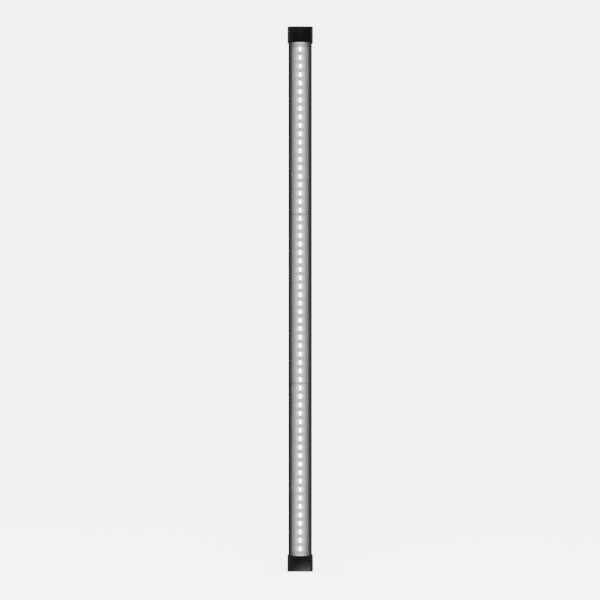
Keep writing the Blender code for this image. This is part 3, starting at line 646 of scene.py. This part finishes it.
def block(bm, size, place, corner=0.0, steps=1, upper=0.0):
    """A flat-lying box on the plane z = 0 with rounded corners and a rounded upper edge."""
    made = bmesh.ops.create_cube(bm, size=1.0)["verts"]
    bmesh.ops.scale(bm, verts=made, vec=size)
    bmesh.ops.translate(bm, verts=made, vec=(0, 0, size[2] / 2))
    if corner:
        upright = [
            e for e in {e for v in made for e in v.link_edges}
            if abs(e.verts[0].co.z - e.verts[1].co.z) > size[2] / 2
        ]
        out = bmesh.ops.bevel(
            bm, geom=upright, offset=corner, segments=steps, profile=0.5, affect="EDGES", material=-1
        )
        made = list({v for v in made if v.is_valid} | set(out["verts"]))
    if upper:
        top = [
            e for e in {e for v in made for e in v.link_edges}
            if min(v.co.z for v in e.verts) > size[2] * 0.9
        ]
        out = bmesh.ops.bevel(
            bm, geom=top, offset=upper, segments=2, profile=0.5, affect="EDGES", material=-1
        )
        made = list({v for v in made if v.is_valid} | set(out["verts"]))
    bmesh.ops.transform(bm, verts=made, matrix=place)


def turned(bm, profile, place, steps):
    """Spin a profile of (radius, height) points about the Z axis into a closed round part."""
    line = [bm.verts.new((r, 0, h)) for r, h in profile]
    edges = [bm.edges.new((a, b)) for a, b in zip(line, line[1:]) if a.co.x or b.co.x]
    before = set(bm.verts) - set(line)
    bmesh.ops.spin(
        bm, geom=line + edges, cent=(0, 0, 0), axis=(0, 0, 1), angle=math.tau, steps=steps, use_merge=True
    )
    made = [v for v in bm.verts if v not in before]
    bmesh.ops.remove_doubles(bm, verts=made, dist=SAME_PLACE)
    made = [v for v in bm.verts if v not in before]
    bmesh.ops.transform(bm, verts=made, matrix=place)


print("helpers ready")


# %% [markdown]
# ## The track and its round lands
#
# A flat copper track joins the LEDs under the mask, and it widens into a round land midway
# between each pair. The lands are a duller silver than the board, with a bright soldered dot in
# the middle. They are the rings seen between the lit LEDs. Track and lands carry a painted glow,
# an even emission that stands in for the light the LEDs throw on them.

# %% Model the track and lands
TRACK_THICKNESS = 0.0003
TRACK_WIDTH = 0.0024
LAND_RADIUS = 0.0022
DOT_RADIUS = 0.0010
LAND_STEPS = 20
# strength of the painted glow on the track and lands, standing in for the LEDs' light
LAND_PAINTED_GLOW = 0.62

LAND_PROFILE = (
    (0.0, 0.00022),
    (DOT_RADIUS * 0.7, 0.00020),
    (DOT_RADIUS, 0.00010),
    (DOT_RADIUS * 1.25, 0.00016),
    (LAND_RADIUS * 0.95, 0.00018),
    (LAND_RADIUS, 0.00012),
    (LAND_RADIUS, 0.0),
    (0.0, 0.0),
)


def land_finish():
    finish = Finish("tinned_land")
    grains = finish.noise(0.0004, detail=3)
    grey = finish.tint(finish.between(grains, 0, 1), (0.33, 0.33, 0.33), (0.42, 0.42, 0.42))
    finish.set(base_color=grey, roughness=finish.between(grains, 0.35, 0.5), metallic=0.5)
    # painted glow: an even emission stands in for the LEDs' light falling on the track and lands
    finish.set(emission_color=(LAND_PAINTED_GLOW, LAND_PAINTED_GLOW, LAND_PAINTED_GLOW, 1), emission_strength=1.0)
    finish.relief(grains, 0.00002)
    return finish.material


LAND = land_finish()
for number, row in enumerate(ROWS, 1):
    heights = led_heights(row)
    bm = bmesh.new()
    track_size = (TRACK_WIDTH, heights[-1] - heights[0], TRACK_THICKNESS / 2)
    block(bm, track_size, stand_up(0, (heights[0] + heights[-1]) / 2), upper=0.00005)
    for low, high in zip(heights, heights[1:]):
        turned(bm, LAND_PROFILE, stand_up(0, (low + high) / 2), LAND_STEPS)
    piece(f"track_lands_{number}", bm, LAND)

# %% [markdown]
# ## The LED packages
#
# Each package is a white moulded frame with chamfered corners. The phosphor lies in it in the
# shape of a bow tie, wide at both ends and narrow at the waist, and a clear round lens sits on
# top. The frame is a beveled box. The bow tie is a grid whose rows are scaled one by one. The
# lens is a spun shell, and the frame's corners reach a little way into the foot of its wall.

# %% Model the LEDs
FRAME_WIDTH = 0.0046
FRAME_HEIGHT = 0.0005
FRAME_CORNER = 0.0009
FRAME_SIZE = (FRAME_WIDTH, FRAME_WIDTH, FRAME_HEIGHT)
TIE_LENGTH = 0.0042
TIE_WAIST = 0.0018
TIE_END = 0.0027
TIE_ROWS = 8
TIE_CURVE = 1.6  # how sharply the tie widens towards its ends
TIE_THICKNESS = 0.00012
LENS_STEPS = 20
lens_foot = BOARD_FACE - TRACK_THICKNESS

LENS_PROFILE = [
    (LENS_RADIUS - 0.00035, 0.0),
    (LENS_RADIUS, 0.0),
    (LENS_RADIUS, 0.00045),
    (LENS_RADIUS - 0.00006, 0.00055),
    (LENS_RADIUS - 0.00035, 0.00085),
    (0.0023, 0.00130),
    (0.0016, 0.00155),
    (0.0008, 0.00171),
    (0.0, 0.00175),
    (0.0, 0.00135),
    (0.0012, 0.00125),
    (0.0021, 0.00098),
    (LENS_RADIUS - 0.00055, 0.00060),
    (LENS_RADIUS - 0.00035, 0.0),
]


def bow_tie(bm, place):
    """A flat plate with a narrow waist, lying on z = 0."""
    made = bmesh.ops.create_grid(bm, x_segments=2, y_segments=TIE_ROWS, size=0.5)["verts"]
    for v in made:
        share = abs(v.co.y) * 2
        width = TIE_WAIST + (TIE_END - TIE_WAIST) * share**TIE_CURVE
        v.co.x *= width
        v.co.y *= TIE_LENGTH
    faces = list({f for v in made for f in v.link_faces})
    raised = bmesh.ops.extrude_face_region(bm, geom=faces)
    upper = [e for e in raised["geom"] if isinstance(e, bmesh.types.BMVert)]
    bmesh.ops.translate(bm, verts=upper, vec=(0, 0, TIE_THICKNESS))
    bmesh.ops.transform(bm, verts=made + upper, matrix=place)


FRAME_FINISH = white_package()
PHOSPHOR = glowing_phosphor()
LENS_CLEAR = clear_plastic("clear_lens", (0.97, 0.975, 0.98), 0.06, 0.03)
for number, row in enumerate(ROWS, 1):
    frames, ties, lenses = bmesh.new(), bmesh.new(), bmesh.new()
    for z in led_heights(row):
        block(frames, FRAME_SIZE, stand_up(0, z, lens_foot), FRAME_CORNER, steps=2, upper=0.0001)
        bow_tie(ties, stand_up(0, z, lens_foot - FRAME_HEIGHT))
        turned(lenses, LENS_PROFILE, stand_up(0, z, lens_foot), LENS_STEPS)
    piece(f"led_frames_{number}", frames, FRAME_FINISH)
    piece(f"led_phosphor_{number}", ties, PHOSPHOR)
    piece(f"led_lenses_{number}", lenses, LENS_CLEAR, [row])

# %% [markdown]
# ## Terminals and chip resistors
#
# A soldered terminal shows on each side of every LED, and a chip resistor on each side midway to
# the next one. They are tiny and repeated over a hundred times, so each is only made of boxes.
# Both carry a painted glow, an even emission that stands in for the light the LEDs throw on them.

# %% Model the small board parts
SIDE_X = 0.0039
# strengths of the painted glow on the solder and on the chip resistors
SOLDER_PAINTED_GLOW = 0.92
CHIP_PAINTED_GLOW = 0.38


def lit(name, dark, light, glow, **sockets):
    """A small part beside an LED, with a painted glow: an even emission for the LED's light from close
    by.
    """
    finish = speckled(name, dark, light, 0.0002, (0.3, 0.45), 0.00002, **sockets)
    return finish.set(emission_color=(glow, glow, glow, 1), emission_strength=1.0).material


LIT_SOLDER = lit("lit_solder", (0.55, 0.56, 0.56), (0.68, 0.69, 0.69), SOLDER_PAINTED_GLOW, metallic=0.6)
LIT_CHIP = lit("chip_resistor", (0.035, 0.035, 0.037), (0.055, 0.055, 0.058), CHIP_PAINTED_GLOW)
TERMINAL = (0.0012, 0.0018, 0.00028)
CHIP_BODY = (0.0009, 0.0010, 0.00045)
CHIP_END = (0.00092, 0.0003, 0.00048)

for number, row in enumerate(ROWS, 1):
    heights = led_heights(row)
    solder, chips = bmesh.new(), bmesh.new()
    for z in heights:
        for side in (-1, 1):
            block(solder, TERMINAL, stand_up(side * SIDE_X, z), upper=0.00012)
    for low, high in zip(heights, heights[1:]):
        for side in (-1, 1):
            z = (low + high) / 2
            block(chips, CHIP_BODY, stand_up(side * SIDE_X, z), upper=0.00006)
            for end in (-1, 1):
                shift = end * (CHIP_BODY[1] + CHIP_END[1]) / 2
                block(solder, CHIP_END, stand_up(side * SIDE_X, z + shift))
    piece(f"board_solder_{number}", solder, LIT_SOLDER)
    piece(f"chip_resistors_{number}", chips, LIT_CHIP)

# %% [markdown]
# ## Cap screws
#
# Two stainless pan-head screws hold each cap. The cross recess is the part that catches the
# eye. It starts as a grid of nine squares with its corners taken away, which leaves a cross. A
# ring is bridged to the cross, and the rest of the head and the shank are grown from that ring,
# one extrusion for each step of the outline. The cross is grown downwards in the same way. The
# thread is drawn as plain rings, because a helix would look no different at this size.

# %% Model the screws
RECESS_SLOT = 0.00035
RECESS_REACH = 0.0013
RECESS_DEPTH = 0.0008
RECESS_TAPER = 0.72
SCREW_RING = 24
HEAD_FLAT = 0.0017  # radius of the flat round the recess
HEAD_HEIGHT = 0.0015
NECK_END = 0.0017  # depth at which the thread starts
THREAD_RADIUS = 0.0011
THREAD_ROOT = 0.00088
THREAD_PITCH = 0.0006
TIP_LENGTH = 0.0012
TIP_RADIUS = 0.00025
TURN_UP, TURN_DOWN = math.radians(25), math.radians(65)  # how far each cross is turned


def grow(bm, edges, scale, shift):
    """Extrude a ring of edges, scale it about Z and shift it, and return the new ring."""
    grown = bmesh.ops.extrude_edge_only(bm, edges=edges)["geom"]
    moved = [e for e in grown if isinstance(e, bmesh.types.BMVert)]
    bmesh.ops.scale(bm, verts=moved, vec=(scale, scale, 1))
    bmesh.ops.translate(bm, verts=moved, vec=(0, 0, shift))
    return [e for e in grown if isinstance(e, bmesh.types.BMEdge)]


def cross_outline(bm):
    """The rim of a cross on z = 0, in 24 edges."""
    bmesh.ops.create_grid(bm, x_segments=3, y_segments=3, size=1.0)
    corners = [
        f for f in bm.faces
        if min(abs(f.calc_center_median().x), abs(f.calc_center_median().y)) > 0.5
    ]
    bmesh.ops.delete(bm, geom=corners, context="FACES")
    loose = [v for v in bm.verts if not v.link_faces]
    bmesh.ops.delete(bm, geom=loose, context="VERTS")
    for v in bm.verts:
        v.co.x = math.copysign(RECESS_SLOT if abs(v.co.x) < 0.5 else RECESS_REACH, v.co.x)
        v.co.y = math.copysign(RECESS_SLOT if abs(v.co.y) < 0.5 else RECESS_REACH, v.co.y)
    whole = bmesh.ops.dissolve_faces(bm, faces=bm.faces[:])["region"]
    bmesh.ops.delete(bm, geom=whole, context="FACES_ONLY")
    bmesh.ops.subdivide_edges(bm, edges=bm.edges[:], cuts=1)
    return bm.edges[:]


def screw_outline(radius, length):
    """Radius and height at each step, from the head's flat down to the tip."""
    outline = [
        (radius * 0.88, -0.00008),
        (radius * 0.96, -0.00022),
        (radius, -0.00050),
        (radius, -0.00140),
        (radius * 0.97, -HEAD_HEIGHT),
        (THREAD_RADIUS, -HEAD_HEIGHT),
        (THREAD_RADIUS, -NECK_END),
    ]
    depth = NECK_END + THREAD_PITCH / 2
    while depth < length - TIP_LENGTH - THREAD_PITCH:
        outline += [(THREAD_ROOT, -depth), (THREAD_RADIUS, -depth - THREAD_PITCH / 2)]
        depth += THREAD_PITCH
    return outline + [(THREAD_ROOT, -(length - TIP_LENGTH)), (TIP_RADIUS, -length)]


def cross_head_screw(name, node, head_up):
    low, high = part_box(node)
    bm = bmesh.new()
    rim = cross_outline(bm)
    ring = bmesh.ops.create_circle(bm, segments=SCREW_RING, radius=HEAD_FLAT)["verts"]
    ring_edges = list({e for v in ring for e in v.link_edges})
    bmesh.ops.bridge_loops(bm, edges=rim + ring_edges)
    before, level = HEAD_FLAT, 0.0
    for radius, z in screw_outline((high.x - low.x) / 2, high.z - low.z):
        ring_edges = grow(bm, ring_edges, radius / before, z - level)
        before, level = radius, z
    bmesh.ops.edgeloop_fill(bm, edges=ring_edges)
    bmesh.ops.edgeloop_fill(bm, edges=grow(bm, rim, RECESS_TAPER, -RECESS_DEPTH))
    if head_up:
        turn, top = Matrix.Rotation(TURN_UP, 4, "Z"), high.z
    else:
        turn, top = Matrix.Rotation(math.pi, 4, "X") @ Matrix.Rotation(TURN_DOWN, 4, "Z"), low.z
    centre = (low + high) / 2
    bmesh.ops.transform(bm, verts=bm.verts, matrix=Matrix.Translation((centre.x, centre.y, top)) @ turn)
    piece(name, bm, STAINLESS.material, [node])


for end in ("bottom", "top"):
    for side in ("left", "right"):
        cross_head_screw(f"cross_head_{end}_{side}", f"cap_screw_{end}_{side}", end == "top")

# %% [markdown]
# ## Floor, backdrop and light
#
# The lamp stands on a plain pale floor. The camera is low, so the floor's far edge would draw a
# line behind the lamp. The floor therefore fades into the backdrop's own white away from the
# lamp. Only the camera sees it: it casts no light back, and it is clear from below, so that the
# underside can be looked at.

# %% Floor and backdrop
BACKDROP = 6.0
AMBIENT = 0.13
FLOOR_RADIUS = 40.0
FLOOR_SIDES = 96
FADE = (0.25, 1.1)  # from the lamp: the floor starts to fade, then is all backdrop
LIT_FLOOR = 2.6  # brightness that the lights alone give the floor
PLASTER = ((3.0, 3.0, 3.0), (3.1, 3.1, 3.1))  # over 1, so that weak lights still light it well

world = bpy.data.worlds.new("studio")
bpy.context.scene.world = world
world.use_nodes = True
tree = world.node_tree
background = tree.nodes["Background"]
background.inputs["Color"].default_value = (1, 1, 1, 1)
path = tree.nodes.new("ShaderNodeLightPath")
level = tree.nodes.new("ShaderNodeMapRange")
level.inputs["To Min"].default_value = AMBIENT
level.inputs["To Max"].default_value = BACKDROP
tree.links.new(path.outputs["Is Camera Ray"], level.inputs["Value"])
tree.links.new(level.outputs["Result"], background.inputs["Strength"])


def floor_finish():
    finish = Finish("floor")
    finish.tree.nodes.remove(finish.shader)
    x, y, _ = finish.axes()
    square = finish.math("ADD", finish.math("POWER", x, 2), finish.math("POWER", y, 2))
    radius = finish.math("SQRT", square)
    plaster = finish.noise(0.05, detail=4)
    diffuse = finish.node("BsdfDiffuse")
    finish.feed(diffuse.inputs["Color"], finish.tint(plaster, *PLASTER))
    lift = finish.node("Emission")
    lift.inputs["Strength"].default_value = BACKDROP - LIT_FLOOR
    near = finish.node("AddShader")
    finish.feed(near.inputs[0], diffuse.outputs[0])
    finish.feed(near.inputs[1], lift.outputs[0])
    far = finish.node("Emission")
    far.inputs["Strength"].default_value = BACKDROP
    faded = finish.node("MixShader")
    finish.feed(faded.inputs[0], finish.between(radius, 0, 1, *FADE))
    finish.feed(faded.inputs[1], near.outputs[0])
    finish.feed(faded.inputs[2], far.outputs[0])
    clear = finish.node("BsdfTransparent")
    sided = finish.node("MixShader")
    finish.feed(sided.inputs[0], finish.node("NewGeometry").outputs["Backfacing"])
    finish.feed(sided.inputs[1], faded.outputs[0])
    finish.feed(sided.inputs[2], clear.outputs[0])
    finish.feed(finish.output.inputs["Surface"], sided.outputs[0])
    return finish.material


bm = bmesh.new()
bmesh.ops.create_circle(bm, cap_ends=True, segments=FLOOR_SIDES, radius=FLOOR_RADIUS)
bmesh.ops.translate(bm, verts=bm.verts, vec=(0, 0, cad_low.z))
mesh = bpy.data.meshes.new("floor")
bm.to_mesh(mesh)
bm.free()
mesh.materials.append(floor_finish())
floor = bpy.data.objects.new("floor", mesh)
bpy.context.scene.collection.objects.link(floor)
floor.visible_diffuse = False
floor.visible_glossy = False
floor.visible_transmission = False
floor.visible_shadow = False
print(f"floor at z = {cad_low.z * 1000:.1f} mm, fading from {FADE[0]} m out")

# %% [markdown]
# ## Studio lights
#
# Black surfaces show little but what they mirror. A wide, weak light close by on the left puts
# a broad soft band on the left-hand rounds, and a narrow one on the right draws a fine line
# there. A large light above the front gives the general light. Two wide lights behind and one
# low down in front keep the other sides readable.


# %% Lights
def soft_light(name, place, size, power):
    data = bpy.data.lights.new(name, "AREA")
    data.shape = "RECTANGLE"
    data.size, data.size_y = size
    data.energy = power
    light = bpy.data.objects.new(name, data)
    light.location = place
    light.rotation_euler = (middle - Vector(place)).to_track_quat("-Z", "Y").to_euler()
    light.visible_camera = False
    bpy.context.scene.collection.objects.link(light)


soft_light("left_soft", (-0.82, -0.37, 0.3), (2.1, 1.6), 6.5)
soft_light("right_strip", (1.35, -0.95, 0.45), (0.22, 1.6), 5)
soft_light("front_soft", (0.0, -1.5, 2.3), (1.4, 0.9), 42)
soft_light("back_left", (-1.5, 1.2, 0.8), (1.6, 1.8), 26)
soft_light("back_right", (1.5, 1.2, 0.7), (1.6, 1.8), 26)
soft_light("below", (0.3, -1.2, -0.8), (0.8, 0.8), 8)
print("studio ready")
